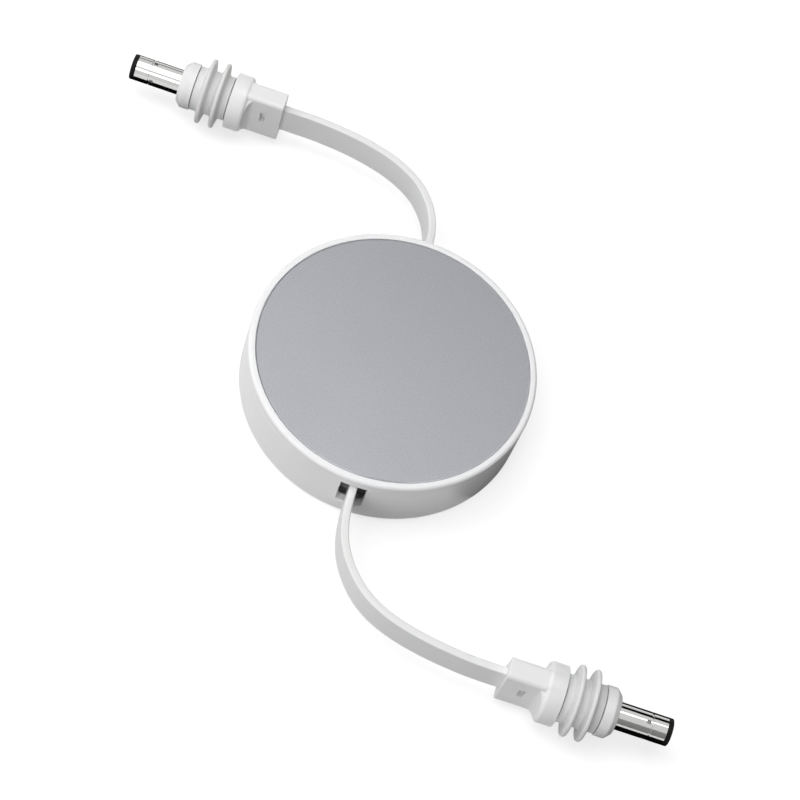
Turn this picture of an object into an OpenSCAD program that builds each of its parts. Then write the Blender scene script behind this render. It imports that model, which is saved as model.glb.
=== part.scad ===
// Retractable dc power cable: a round reel housing with a metal face plate, a flat cable
// that leaves two opposite slots in the wall on edge, and a sealed barrel plug on each end.
// Millimetres, +Z up. The origin is the centre of the housing's underside, the slots lie on
// the Y axis, the near plug points along +X and the far plug along -X.

/* [Housing] */
// Outer diameter of the round housing
housing_d = 59.5; // [56:0.5:70]
// Height of the cover's band above the parting seam
cover_band_h = 2.4; // [2.2:0.1:2.6]
// Thickness of the lower shell's round wall
wall_t = 1.7; // [1.3:0.1:2]
// Thickness of the lower shell's floor
floor_t = 1.4; // [1.2:0.1:1.6]
// Radius of the rounded outer edges, top and bottom
edge_r = 0.7; // [0.3:0.1:0.8]
// Depth that the cover's skirt reaches down inside the wall
skirt_h = 1.6; // [1:0.1:2]
// Thickness of the cover's skirt
skirt_t = 0.9; // [0.6:0.1:1]
// Number of snap beads round the skirt
snap_count = 6; // [2:2:12]

/* [Face plate] */
// Diameter of the metal face plate
plate_d = 56.3; // [50:0.1:57]
// Thickness of the metal face plate
plate_t = 0.5; // [0.4:0.1:0.7]
// Thickness of the adhesive sheet below the plate
adhesive_t = 0.1; // [0.1:0.05:0.2]
// Gap between the plate's edge and the rim round it
plate_gap = 0.15; // [0.1:0.05:0.3]
// Depth of the plate's face below the rim
plate_sink = 0.1; // [0:0.05:0.3]
// Chamfer round the plate's upper edge
plate_chamfer = 0.15; // [0.05:0.05:0.2]

/* [Cable slots] */
// Height of each slot's sill above the housing's underside
slot_sill_z = 3.8; // [3.7:0.1:4.2]
// Width of each slot in the wall
slot_w = 5.3; // [4.5:0.1:6.5]
// Radius of the slot's lower corners
slot_corner_r = 1.1; // [0.6:0.1:1.6]
// Width of the bevel round the slot's outer edge
slot_bevel = 0.35; // [0.2:0.05:0.5]
// Clearance above and below the cable in its slot
slot_play = 0.2; // [0.15:0.05:0.3]

/* [Cable] */
// Width of the flat cable, which stands on edge
cable_w = 7; // [6.6:0.1:7.4]
// Thickness of the flat cable
cable_t = 1.6; // [1.4:0.1:1.8]
// Chamfer on the cable's long edges
cable_edge = 0.25; // [0.1:0.05:0.4]
// Gap between the wound strands
strand_gap = 0.06; // [0.04:0.02:0.12]
// Distance that the wound cable keeps inside the edge of the lower flange
winding_margin = 0.65; // [0.65:0.05:1.5]

/* [Reel] */
// Outer radius of the reel's hub
hub_r = 11; // [10.6:0.1:11.4]
// Thickness of the hub's wall
hub_wall = 1.3; // [1:0.1:1.6]
// Gap between the reel's lower flange and the housing's wall
flange_gap = 1.75; // [1.6:0.05:2]
// Thickness of the lower flange
flange_t = 1.2; // [1:0.1:1.3]
// Thickness of the upper flange
cap_t = 0.65; // [0.5:0.05:0.7]
// Distance of the upper flange's edge inside the lower flange's
cap_inset = 0.5; // [0.4:0.1:0.8]
// Depth of the lip that centres the upper flange in the hub
cap_lip_h = 0.5; // [0.4:0.1:0.6]
// Clearance between the flanges and the wound cable
winding_play = 0.15; // [0.1:0.05:0.2]
// Radius of the journal that the reel turns on
journal_r = 3.2; // [3:0.1:3.4]
// Radial clearance of each running bearing
running_fit = 0.05; // [0.03:0.01:0.08]
// Height gap of the thrust bearing below the reel
thrust_gap = 0.05; // [0.02:0.01:0.08]
// Height of the thrust bearing's ring above the floor
thrust_h = 0.55; // [0.4:0.05:0.7]

/* [Power spring] */
// Thickness of the spring strip
strip_t = 0.25; // [0.15:0.05:0.35]
// Turns of the spring between post and hub
spring_turns = 6; // [4:1:7]
// Outer radius of the centre post
post_r = 2.6; // [2.4:0.1:2.8]

/* [Stop ball] */
// Radius of the steel ball
ball_r = 1; // [0.8:0.1:1.1]
// Depth of the ball's groove in the floor
groove_depth = 0.55; // [0.4:0.05:0.6]
// Radius of the inner lane's middle
inner_lane_r = 8.8; // [8.6:0.1:9]
// Radius of the outer lane's middle
outer_lane_r = 12.4; // [12.2:0.1:12.6]
// Side clearance of the ball in its lanes
lane_play = 0.2; // [0.15:0.05:0.3]
// Number of stop islands between the lanes
island_count = 8; // [4:4:8]

/* [Case screw] */
// Radius of the screw's thread
screw_r = 1; // [0.8:0.1:1]
// Radius of the screw's head
screw_head_r = 1.9; // [1.7:0.1:2]
// Height of the screw's head
screw_head_h = 1.1; // [0.9:0.1:1.2]
// Depth of the counterbore for the head
counterbore_h = 1.5; // [1.3:0.1:1.7]

/* [Plug barrel] */
// Outer diameter of the metal barrel
barrel_d = 5.5; // [5.5:0.1:5.5]
// Thickness of the barrel's wall
barrel_wall = 0.5; // [0.4:0.05:0.6]
// Bore of the centre contact
contact_bore_d = 2.1; // [2.1:0.4:2.5]
// Thickness of the centre contact's wall
contact_wall = 0.25; // [0.2:0.05:0.3]
// Depth of the centre contact's bore
contact_depth = 9; // [8:0.5:10]
// Length of the black insulating tip
tip_ring_l = 1; // [0.6:0.1:1.4]
// Free length of the barrel ahead of the nose collar
barrel_free_l = 11; // [9:0.5:12]
// Distance of the ring groove from the tip
groove_s = 4.1; // [3.6:0.1:5]
// Fit clearance between the plug's nested pieces
nest_fit = 0.03; // [0.02:0.01:0.06]

/* [Plug nose and seal] */
// Radius of the nose collar
nose_r = 5.05; // [4.9:0.05:5.3]
// Radius of the nose collar's flat front face
nose_face_r = 3.9; // [3.5:0.1:4.4]
// Length of the nose collar
nose_l = 3.1; // [2.8:0.1:3.6]
// Length of the nose collar's chamfer
nose_chamfer_l = 1.1; // [0.8:0.1:1.6]
// Open gap between the nose collar and the seal
nose_gap = 0.18; // [0.1:0.02:0.3]
// Radius of the seal between its flanges
seal_r = 4.8; // [4.5:0.1:5]
// Length of the seal
seal_l = 8; // [7.5:0.1:8.5]
// Radius of the seal's two flanges
seal_flange_r = 7.15; // [6.5:0.05:7.5]
// Distance from the seal's front to the first flange
first_flange_s = 2.35; // [2.1:0.05:2.6]
// Distance between the two flanges
flange_pitch = 3.1; // [2.8:0.1:3.3]
// Thickness of a flange at its root
flange_root_t = 1.7; // [1.3:0.1:1.9]
// Thickness of a flange at its tip
flange_tip_t = 0.75; // [0.5:0.05:1]

/* [Plug body] */
// Radius of the rear collar
collar_r = 6.1; // [5.6:0.1:6.6]
// Length of the rear collar
collar_l = 3.3; // [2.5:0.1:3.6]
// Length of the block behind the collar
block_l = 8.3; // [7:0.1:10]
// Thickness of the block, across the cable
block_t = 4.6; // [4:0.1:5.6]
// Height of the block, along the cable's width
block_h = 11.7; // [10:0.1:12]
// Radius of the block's long edges
block_edge_r = 0.9; // [0.5:0.1:1.2]
// Radius of the hollow blend between block and collar
blend_r = 1.9; // [1.2:0.1:2.2]
// Radius of the spigot that carries the nose and the seal
spigot_r = 3.6; // [3.4:0.1:3.9]
// Length of the small pocket in each side of the block
pocket_l = 1.2; // [0.8:0.1:1.8]
// Height of the pocket
pocket_h = 3; // [2:0.1:4]
// Depth of the pocket
pocket_depth = 0.5; // [0.3:0.1:0.8]
// Distance of the pocket from the block's rear face
pocket_s = 4; // [3:0.1:5]
// Height of the pocket's middle above the plug's axis
pocket_up = 0.6; // [0:0.1:1]

/* [Hidden] */
$fn = 96;
eps = 0.01;

// Slots: the cable's width and its play set their height, and so the housing's
slot_cable_z = slot_sill_z + slot_play + cable_w / 2;
seam_z = slot_cable_z + cable_w / 2 + slot_play;

// Radii and heights of the housing
housing_r = housing_d / 2;
inner_r = housing_r - wall_t;
housing_h = seam_z + cover_band_h;
plate_r = plate_d / 2;
recess_r = plate_r + plate_gap;
plate_z = housing_h - plate_sink - plate_t;
recess_z = plate_z - adhesive_t;
web_t = 0.9;
web_z = recess_z - web_t;
skirt_play = 0.05;
seam_bevel = 0.12;
adhesive_margin = 0.35;

// Heights of the reel, from the floor up
flange_r = inner_r - flange_gap;
cap_r = flange_r - cap_inset;
track_h = ball_r * 1.15;
reel_z = floor_t + thrust_h + thrust_gap;
flange_top_z = slot_cable_z - cable_w / 2 - winding_play;
flange_z = flange_top_z - flange_t;
cap_z = slot_cable_z + cable_w / 2 + winding_play;
reel_bore_r = journal_r + running_fit;
hub_inner_r = hub_r - hub_wall;
track_wall = 0.7;
track_r0 = inner_lane_r - ball_r - lane_play;
track_r1 = outer_lane_r + ball_r + lane_play;
boss_r = 3;
island_half_w = (outer_lane_r - inner_lane_r) / 2 - ball_r - lane_play;
island_r = (outer_lane_r + inner_lane_r) / 2;
crossing_w = 2 * ball_r + 2.5 * lane_play;

// Winding: two strands side by side, folded at the hub, with as many steps of a turn as fit
strand_pitch = cable_t + strand_gap;
winding_r = hub_r + strand_gap;
winding_step = 12;
winding_room = flange_r - winding_margin - winding_r - cable_t;
wound_turns = floor(360 / winding_step * winding_room / (2 * strand_pitch)) * winding_step / 360;

// Spring chamber
chamber_z = flange_top_z + 0.2;
chamber_top = cap_z - cap_lip_h - 0.2;
spring_r0 = post_r + 0.35;
spring_r1 = hub_inner_r - 0.3;

// Screw
screw_play = 0.1;
head_play = 0.2;
thread_fit = 0.02;
screw_reach = 1.1;

// Stations along a plug, counted backwards from its tip
contact_r = contact_bore_d / 2;
barrel_r = barrel_d / 2;
nose_end_s = barrel_free_l + nose_l;
seal_s = nose_end_s + nose_gap;
collar_s = seal_s + seal_l;
block_s = collar_s + collar_l;
plug_l = block_s + block_l;
barrel_root_r = barrel_r - barrel_wall / 2;
barrel_root_l = 8;
nose_front_l = 1;
spigot_s = barrel_free_l + nose_front_l;
barrel_end_s = barrel_free_l + barrel_root_l;

// Where the plugs lie: their flanges rest on the surface below
plug_z = seal_flange_r;
plug_end_x = 38.2;
near_plug_y = -56.6;
far_plug_y = 52.8;

// The cables' routes, from inside each slot to the plug's block
near_route = [[0, -27], [0, -30.5], [0.1, -34], [0.5, -37.5], [1.4, -41], [2.9, -44.2],
    [5, -47.2], [7.5, -49.8], [10.4, -51.8], [13.6, -53.3], [17, -54.4], [20.5, -55.2],
    [24, -55.8], [27.5, -56.2], [31.1, -56.5], [34.6, -56.6], [38.2, -56.6]];
far_route = [[0, 27], [0, 30.3], [-0.1, 33.6], [-0.8, 36.9], [-2, 40], [-3.8, 42.9],
    [-6, 45.4], [-8.8, 47.4], [-11.8, 49], [-14.9, 50.2], [-18.2, 51.1], [-21.5, 51.8],
    [-24.8, 52.3], [-28.1, 52.6], [-31.5, 52.8], [-34.8, 52.8], [-38.2, 52.8]];

// Points along an arc, in steps fine enough for a small fillet
function arc(cx, cy, r, a0, a1, n = 6) =
    [for (i = [0:n]) [cx + r * cos(a0 + (a1 - a0) * i / n), cy + r * sin(a0 + (a1 - a0) * i / n)]];

// A point at radius r and angle a
function polar(r, a) = [r * cos(a), r * sin(a)];

// A ring between two radii and two heights
module ring(r0, r1, z0, z1) {
    translate([0, 0, z0])
        difference() {
            cylinder(r = r1, h = z1 - z0);
            translate([0, 0, -1])
                cylinder(r = r0, h = z1 - z0 + 2);
        }
}

// Outline of a slot seen from outside: open at the top, with round lower corners
module slot_outline(grow = 0) {
    w = slot_w / 2 + grow;
    r = slot_corner_r;
    z0 = slot_sill_z - grow;
    polygon(concat(
        [[-w, seam_z + 1]],
        arc(-w + r, z0 + r, r, 180, 270, 8),
        arc(w - r, z0 + r, r, 270, 360, 8),
        [[w, seam_z + 1]]));
}

// A slot cut through the wall on the -Y side, with a bevel at the outer face
module slot_cut() {
    rotate([90, 0, 0])
        translate([0, 0, inner_r - 1])
            linear_extrude(height = wall_t + 2)
                slot_outline();
    hull() {
        rotate([90, 0, 0])
            translate([0, 0, housing_r - slot_bevel * 2])
                linear_extrude(height = eps)
                    slot_outline();
        rotate([90, 0, 0])
            translate([0, 0, housing_r])
                linear_extrude(height = eps)
                    slot_outline(slot_bevel);
    }
}

// Both slots, half a turn apart
module both_slots() {
    for (a = [0, 180])
        rotate([0, 0, a])
            slot_cut();
}

// Snap beads on the skirt, or the pockets that take them when grown
module snap_beads(grow = 0) {
    bead_w = 4;
    bead_h = 0.6;
    bead_out = 0.35;
    r = inner_r - skirt_play;
    for (i = [0:snap_count - 1])
        rotate([0, 0, 360 / snap_count * (i + 0.5) - 90])
            intersection() {
                ring(r - 0.2, r + bead_out + grow, seam_z - skirt_h * 0.6 - grow,
                    seam_z - skirt_h * 0.6 + bead_h + grow);
                translate([r - 1, -bead_w / 2 - grow, 0])
                    cube([3, bead_w + 2 * grow, housing_h]);
            }
}

// Lower shell: floor, round wall with two cable slots, journal, spring post and ball groove
module base_shell() {
    color("white")
        difference() {
            union() {
                rotate_extrude()
                    polygon(concat(
                        [[0, 0]],
                        arc(housing_r - edge_r, edge_r, edge_r, 270, 360),
                        [[housing_r, seam_z - seam_bevel], [housing_r - seam_bevel, seam_z],
                         [inner_r, seam_z], [inner_r, floor_t],
                         [journal_r + 2.2, floor_t], [journal_r + 2.2, floor_t + thrust_h],
                         [journal_r, floor_t + thrust_h], [journal_r, flange_top_z - 0.1],
                         [post_r, flange_top_z - 0.1], [post_r, cap_z], [0, cap_z]]));
            }
            both_slots();
            snap_beads(0.1);
            // Radial groove that the stop ball slides in
            translate([inner_lane_r, -ball_r - lane_play / 2, floor_t - groove_depth])
                cube([outer_lane_r - inner_lane_r, 2 * ball_r + lane_play, 1]);
            for (r = [inner_lane_r, outer_lane_r])
                translate([r, 0, floor_t - groove_depth])
                    cylinder(r = ball_r + lane_play / 2, h = 1);
            // Slit in the post for the spring's inner end
            translate([0, -1.5 * strip_t, chamber_z - 0.2])
                cube([post_r + 1, 2 * strip_t, cap_z - chamber_z + 1]);
            // Screw hole with its counterbore
            translate([0, 0, -1])
                cylinder(r = screw_r + screw_play, h = housing_h);
            translate([0, 0, -1])
                cylinder(r = screw_head_r + head_play, h = counterbore_h + 1);
        }
}

// Top cover: rim with a rounded edge, recess for the face plate, skirt and centre boss
module top_cover() {
    skirt_r = inner_r - skirt_play;
    color("white")
        difference() {
            union() {
                rotate_extrude()
                    polygon(concat(
                        [[0, recess_z], [0, cap_z], [boss_r, cap_z], [boss_r, web_z],
                         [skirt_r - skirt_t, web_z], [skirt_r - skirt_t, seam_z - skirt_h],
                         [skirt_r, seam_z - skirt_h], [skirt_r, seam_z],
                         [housing_r - seam_bevel, seam_z], [housing_r, seam_z + seam_bevel]],
                        arc(housing_r - edge_r, housing_h - edge_r, edge_r, 0, 90),
                        [[recess_r + seam_bevel, housing_h], [recess_r, housing_h - seam_bevel],
                         [recess_r, recess_z]]));
                snap_beads();
            }
            // The skirt stops on each side of the cable slots
            for (a = [0, 180])
                rotate([0, 0, a])
                    translate([-slot_w / 2, -inner_r - 0.5, 0])
                        cube([slot_w, skirt_t + 3, seam_z]);
            translate([0, 0, cap_z - 1])
                cylinder(r = screw_r + thread_fit, h = 1 + screw_reach + 0.2);
        }
}

// Thin adhesive sheet that holds the face plate in its recess
module adhesive_sheet() {
    color("dimgray")
        translate([0, 0, recess_z])
            cylinder(r = plate_r - adhesive_margin, h = adhesive_t);
}

// Face plate: a blasted aluminium disc with a bright chamfered edge
module face_plate() {
    color("silver")
        rotate_extrude()
            polygon([[0, plate_z], [plate_r, plate_z], [plate_r, plate_z + plate_t - plate_chamfer],
                [plate_r - plate_chamfer, plate_z + plate_t], [0, plate_z + plate_t]]);
}

// Case screw, put in from below, with a cross recess in its head
module case_screw() {
    head_z = counterbore_h - screw_head_h;
    cross_l = screw_head_r * 1.2;
    cross_t = 0.45;
    color("lightgray")
        difference() {
            union() {
                translate([0, 0, head_z])
                    cylinder(r = screw_head_r, h = screw_head_h);
                translate([0, 0, head_z])
                    cylinder(r = screw_r, h = cap_z + screw_reach - head_z);
            }
            for (a = [0, 90])
                rotate([0, 0, a])
                    translate([-cross_l / 2, -cross_t / 2, head_z - 1])
                        cube([cross_l, cross_t, 1.6]);
        }
}

// Reel spool: lower flange, hub, bearing bore and the ball's track with its stop islands
module reel_spool() {
    hub_zone_r = track_r1 + track_wall;
    gap_a = asin(crossing_w / 2 / island_r);
    island_a = 360 / island_count - 2 * gap_a;
    reach = 2 * track_r1;
    color("gainsboro") {
        rotate_extrude()
            polygon([[reel_bore_r, reel_z], [track_r0, reel_z], [track_r0, reel_z + track_h],
                [track_r1, reel_z + track_h], [track_r1, reel_z], [hub_zone_r, reel_z],
                [hub_zone_r, flange_z], [flange_r - 0.3, flange_z], [flange_r, flange_z + 0.3],
                [flange_r, flange_top_z - 0.3], [flange_r - 0.3, flange_top_z],
                [hub_r, flange_top_z], [hub_r, cap_z], [hub_inner_r, cap_z],
                [hub_inner_r, flange_top_z], [reel_bore_r, flange_top_z]]);
        for (i = [0:island_count - 1])
            rotate([0, 0, 360 / island_count * i + gap_a])
                intersection() {
                    ring(island_r - island_half_w, island_r + island_half_w, reel_z,
                        reel_z + track_h + eps);
                    translate([0, 0, reel_z - 1])
                        linear_extrude(height = track_h + 3)
                            polygon([[0, 0], polar(reach, 0), polar(reach * 1.2, island_a / 2),
                                polar(reach, island_a)]);
                }
    }
}

// Reel cap: the upper flange, centred in the hub by a lip and turning on the cover's boss
module reel_cap() {
    color("gainsboro")
        rotate_extrude()
            polygon([[boss_r + running_fit, cap_z], [hub_inner_r - running_fit - 1, cap_z],
                [hub_inner_r - running_fit - 1, cap_z - cap_lip_h],
                [hub_inner_r - running_fit, cap_z - cap_lip_h], [hub_inner_r - running_fit, cap_z],
                [cap_r, cap_z], [cap_r, cap_z + cap_t - 0.2], [cap_r - 0.2, cap_z + cap_t],
                [boss_r + running_fit, cap_z + cap_t]]);
}

// Wound cable: both strands side by side, folded at the hub, as one roll of turns. The plan
// is one closed ribbon: in along the first strand, round the fold and out along the second.
module wound_cable() {
    grow = 2 * strand_pitch / 360;
    first = [for (t = [0:winding_step:360 * wound_turns]) t];
    second = [for (t = [0:winding_step:360 * (wound_turns - 0.5)]) t];
    fold_r = winding_r + cable_t + strand_gap / 2;
    color("whitesmoke")
        translate([0, 0, slot_cable_z - cable_w / 2])
            linear_extrude(height = cable_w)
                rotate(270 - 360 * wound_turns)
                    polygon(concat(
                        [for (k = [len(first) - 1:-1:0]) polar(winding_r + grow * first[k], first[k])],
                        arc(fold_r, 0, cable_t + strand_gap / 2, 210, 330, 4),
                        [for (t = second) polar(winding_r + strand_pitch + cable_t + grow * t, t)],
                        [for (k = [len(second) - 1:-1:0])
                            polar(winding_r + strand_pitch + grow * second[k], second[k])],
                        [for (t = first) polar(winding_r + cable_t + grow * t, t)]));
}

// Power spring: a spiral strip from the post's slit to the hub
module power_spring() {
    steps = spring_turns * 24;
    grow = (spring_r1 - spring_r0) / (360 * spring_turns);
    a = [for (i = [0:steps]) 360 * spring_turns * i / steps];
    tab_r = post_r - 0.9;
    color("slategray")
        translate([0, 0, chamber_z])
            linear_extrude(height = chamber_top - chamber_z)
                polygon(concat(
                    [[tab_r, 0], [tab_r, -strip_t], [spring_r0 + strip_t, -strip_t]],
                    [for (t = a) polar(spring_r0 + grow * t + strip_t, t)],
                    [for (k = [steps:-1:0]) polar(spring_r0 + grow * a[k], a[k])]));
}

// Stop ball in its radial groove, under the outer lane of the reel's track
module stop_ball() {
    color("silver")
        translate([outer_lane_r, 0, floor_t - groove_depth + ball_r + 0.02])
            sphere(r = ball_r);
}

// Corners of the flat cable's section: across the thickness, then up the width
cable_section = [
    [-cable_t / 2, -cable_w / 2 + cable_edge], [-cable_t / 2 + cable_edge, -cable_w / 2],
    [cable_t / 2 - cable_edge, -cable_w / 2], [cable_t / 2, -cable_w / 2 + cable_edge],
    [cable_t / 2, cable_w / 2 - cable_edge], [cable_t / 2 - cable_edge, cable_w / 2],
    [-cable_t / 2 + cable_edge, cable_w / 2], [-cable_t / 2, cable_w / 2 - cable_edge]];

// Height of the cable's middle at share u of its route: level in the slot, then down to the plug
function cable_z(u) = slot_cable_z + (plug_z - slot_cable_z) * (u < 0.12 ? 0 : pow(sin(90 * (u - 0.12) / 0.88), 2));

// Direction of a route at point i: square to the wall at the start, along X at the end
function route_dir(p, i) =
    let (a = p[max(i - 1, 0)], b = p[min(i + 1, len(p) - 1)], d = b - a)
    d / norm(d);

// One ring of the tube: the section, stood square to the route
function cable_ring(p, i) =
    let (d = route_dir(p, i), z = cable_z(i / (len(p) - 1)))
    [for (c = cable_section) [p[i][0] - d[1] * c[0], p[i][1] + d[0] * c[0], z + c[1]]];

// Flat cable swept along a route as one closed skin
module flat_cable(p) {
    n = len(cable_section);
    rings = len(p);
    points = [for (i = [0:rings - 1]) each cable_ring(p, i)];
    sides = [for (i = [0:rings - 2]) for (k = [0:n - 1])
        [i * n + k, (i + 1) * n + k, (i + 1) * n + (k + 1) % n, i * n + (k + 1) % n]];
    front = [for (k = [0:n - 1]) k];
    rear = [for (k = [n - 1:-1:0]) (rings - 1) * n + k];
    color("white")
        polyhedron(points = points, faces = concat(sides, [front], [rear]), convexity = 6);
}

module cable_near() {
    flat_cable(near_route);
}

module cable_far() {
    flat_cable(far_route);
}

// Places a plug: its tip at local X = 0 and its body towards -X
module at_plug(side) {
    translate([side * (plug_end_x + plug_l), side > 0 ? near_plug_y : far_plug_y, plug_z])
        rotate([0, 0, side > 0 ? 0 : 180])
            children();
}

// Turned piece along the plug's axis, from a profile of [radius, station]
module turned(profile) {
    rotate([0, -90, 0])
        rotate_extrude()
            polygon(profile);
}

// Metal barrel: a sleeve with a ring groove and small pressed notches behind it, stepped
// down where it sits inside the nose collar
module plug_barrel() {
    groove_w = 0.22;
    groove_d = 0.2;
    notch_w = 0.7;
    notch_l = 0.8;
    color("silver")
        difference() {
            turned([[barrel_r - barrel_wall, tip_ring_l], [barrel_r, tip_ring_l],
                [barrel_r, groove_s], [barrel_r - groove_d, groove_s],
                [barrel_r - groove_d, groove_s + groove_w], [barrel_r, groove_s + groove_w],
                [barrel_r, barrel_free_l], [barrel_root_r, barrel_free_l],
                [barrel_root_r, barrel_end_s], [barrel_r - barrel_wall, barrel_end_s]]);
            for (a = [0:90:270])
                rotate([a + 10, 0, 0])
                    translate([-groove_s - groove_w - notch_l, -notch_w / 2, barrel_r - groove_d])
                        cube([notch_l, notch_w, 1]);
        }
}

// Insulator: the black ring at the tip, and the tube that holds the centre contact
module plug_insulator() {
    bore = contact_r + contact_wall + nest_fit;
    color("black")
        turned([[contact_r, 0], [barrel_r - 0.12, 0], [barrel_r, 0.12], [barrel_r, tip_ring_l],
            [barrel_r - barrel_wall - nest_fit, tip_ring_l],
            [barrel_r - barrel_wall - nest_fit, barrel_end_s - 1],
            [bore, barrel_end_s - 1], [bore, 0.6], [contact_r, 0.6]]);
}

// Centre contact: a tube with a blind bore and a solder tail
module plug_contact() {
    front = 0.6 + nest_fit;
    tail_r = 0.8;
    color("gold")
        turned([[contact_r, front], [contact_r + contact_wall, front],
            [contact_r + contact_wall, contact_depth + 2], [tail_r, contact_depth + 2],
            [tail_r, barrel_end_s], [0, barrel_end_s], [0, contact_depth], [contact_r, contact_depth]]);
}

// Nose collar: a chamfered ring that closes the front of the seal
module plug_nose() {
    f = barrel_free_l;
    bore_r = barrel_root_r + nest_fit;
    color("white")
        turned([[bore_r, f], [nose_face_r, f], [nose_r - 0.15, f + nose_chamfer_l - 0.15],
            [nose_r, f + nose_chamfer_l + 0.15], [nose_r, nose_end_s - 0.1], [nose_r - 0.1, nose_end_s],
            [spigot_r + nest_fit, nose_end_s], [spigot_r + nest_fit, spigot_s - nest_fit],
            [bore_r, spigot_s - nest_fit]]);
}

// Outline of one seal flange at station s: thick at its root, thin and round at its tip
function seal_flange(s) =
    let (tip_r = flange_tip_t / 2, out = seal_flange_r - tip_r, blend = 0.35)
    concat(
        [[seal_r, s - flange_root_t / 2 - blend], [seal_r + 0.15, s - flange_root_t / 2 - 0.05]],
        [for (a = [-90:30:90]) [out + tip_r * cos(a), s + tip_r * sin(a)]],
        [[seal_r + 0.15, s + flange_root_t / 2 + 0.05], [seal_r, s + flange_root_t / 2 + blend]]);

// Seal: a soft sleeve with two thin flanges that press into the socket
module plug_seal() {
    color("whitesmoke")
        turned(concat(
            [[spigot_r + nest_fit, seal_s], [seal_r, seal_s]],
            seal_flange(seal_s + first_flange_s),
            seal_flange(seal_s + first_flange_s + flange_pitch),
            [[seal_r, collar_s - nest_fit], [spigot_r + nest_fit, collar_s - nest_fit]]));
}

// Cross-section of the block, with round long edges
module block_section() {
    r = block_edge_r;
    for (y = [-1, 1], z = [-1, 1])
        translate([z * (block_h / 2 - r), y * (block_t / 2 - r)])
            circle(r = r, $fn = 32);
    square([block_h, block_t - 2 * r], center = true);
    square([block_h - 2 * r, block_t], center = true);
}

// Hollow blends from the block's sides out to the rear collar
module block_blends() {
    cx = -block_s - blend_r;
    cy = block_t / 2 + blend_r;
    intersection() {
        rotate([0, -90, 0])
            translate([0, 0, block_s - 0.5])
                cylinder(r = collar_r - 0.25, h = blend_r + 0.5);
        translate([0, 0, -block_h / 2 + block_edge_r])
            linear_extrude(height = block_h - 2 * block_edge_r)
                for (side = [-1, 1])
                    scale([1, side])
                        polygon(concat(
                            [[-block_s + 0.5, 0], [cx, 0]],
                            arc(cx, cy, blend_r, 270, 360, 9),
                            [[-block_s + 0.5, cy]]));
    }
}

// Plug body: spigot, rear collar and the block that grips the cable
module plug_body() {
    bore_r = barrel_root_r + nest_fit;
    color("white")
        difference() {
            union() {
                turned([[bore_r, spigot_s], [spigot_r, spigot_s], [spigot_r, collar_s],
                    [collar_r - 0.3, collar_s], [collar_r, collar_s + 0.3],
                    [collar_r, block_s - 0.3], [collar_r - 0.3, block_s], [0, block_s],
                    [0, barrel_end_s + nest_fit], [bore_r, barrel_end_s + nest_fit]]);
                rotate([0, -90, 0])
                    translate([0, 0, block_s - 0.5])
                        linear_extrude(height = block_l + 0.5)
                            block_section();
                block_blends();
            }
            // Small pocket in each side of the block
            for (side = [-1, 1])
                translate([-plug_l + pocket_s - pocket_l / 2, side * block_t / 2, pocket_up])
                    translate([0, -pocket_depth, -pocket_h / 2])
                        cube([pocket_l, 2 * pocket_depth, pocket_h]);
        }
}

module near_barrel() {
    at_plug(1) plug_barrel();
}

module near_tip_insulator() {
    at_plug(1) plug_insulator();
}

module near_centre_contact() {
    at_plug(1) plug_contact();
}

module near_nose_collar() {
    at_plug(1) plug_nose();
}

module near_seal() {
    at_plug(1) plug_seal();
}

module near_plug_body() {
    at_plug(1) plug_body();
}

module far_barrel() {
    at_plug(-1) plug_barrel();
}

module far_tip_insulator() {
    at_plug(-1) plug_insulator();
}

module far_centre_contact() {
    at_plug(-1) plug_contact();
}

module far_nose_collar() {
    at_plug(-1) plug_nose();
}

module far_seal() {
    at_plug(-1) plug_seal();
}

module far_plug_body() {
    at_plug(-1) plug_body();
}

base_shell();
top_cover();
adhesive_sheet();
face_plate();
case_screw();
reel_spool();
reel_cap();
wound_cable();
power_spring();
stop_ball();
cable_near();
cable_far();
near_barrel();
near_tip_insulator();
near_centre_contact();
near_nose_collar();
near_seal();
near_plug_body();
far_barrel();
far_tip_insulator();
far_centre_contact();
far_nose_collar();
far_seal();
far_plug_body();
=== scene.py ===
"""The looks of a retractable dc power cable: a white reel housing with a blasted aluminium
face, a flat cable on edge out of two opposite slots, and a sealed barrel plug on each end.

Meshes are drawn in millimetres and turned to metres as they are finished. The row frame has
the housing's underside at Z = 0, the slots on the Y axis and the near plug along +X.
"""

import logging
import math
from collections.abc import Callable, Iterable, Sequence
from dataclasses import dataclass, field
from enum import Enum

import bmesh
import bpy
from mathutils import Matrix, Quaternion, Vector


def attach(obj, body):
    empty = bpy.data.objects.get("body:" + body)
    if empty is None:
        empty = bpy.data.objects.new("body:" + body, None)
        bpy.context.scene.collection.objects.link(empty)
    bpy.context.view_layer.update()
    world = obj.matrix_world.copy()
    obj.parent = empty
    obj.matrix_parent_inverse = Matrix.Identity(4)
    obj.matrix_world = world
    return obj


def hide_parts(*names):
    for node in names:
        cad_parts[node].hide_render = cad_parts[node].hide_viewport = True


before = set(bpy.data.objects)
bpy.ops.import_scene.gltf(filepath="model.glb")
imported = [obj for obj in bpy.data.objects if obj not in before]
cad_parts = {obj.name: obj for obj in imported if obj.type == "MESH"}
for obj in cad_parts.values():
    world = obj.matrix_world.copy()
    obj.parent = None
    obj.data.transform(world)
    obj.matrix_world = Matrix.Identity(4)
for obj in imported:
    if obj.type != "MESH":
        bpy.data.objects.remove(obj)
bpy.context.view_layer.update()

log = logging.getLogger("power_cable")

MM = 0.001
FULL_TURN = 2 * math.pi
IMAGE_SIZE = 800
BODY = "housing"  # The CAD body that every piece drawn here rides on

# In mm: a step too small to see, the reach of a cutter past what it cuts, and the distance
# under which points are one. TINY is what counts as nothing, in any unit.
HAIR = 0.001
CUT_OVER = 1.0
WELD = 1e-5
TINY = 1e-6

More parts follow.
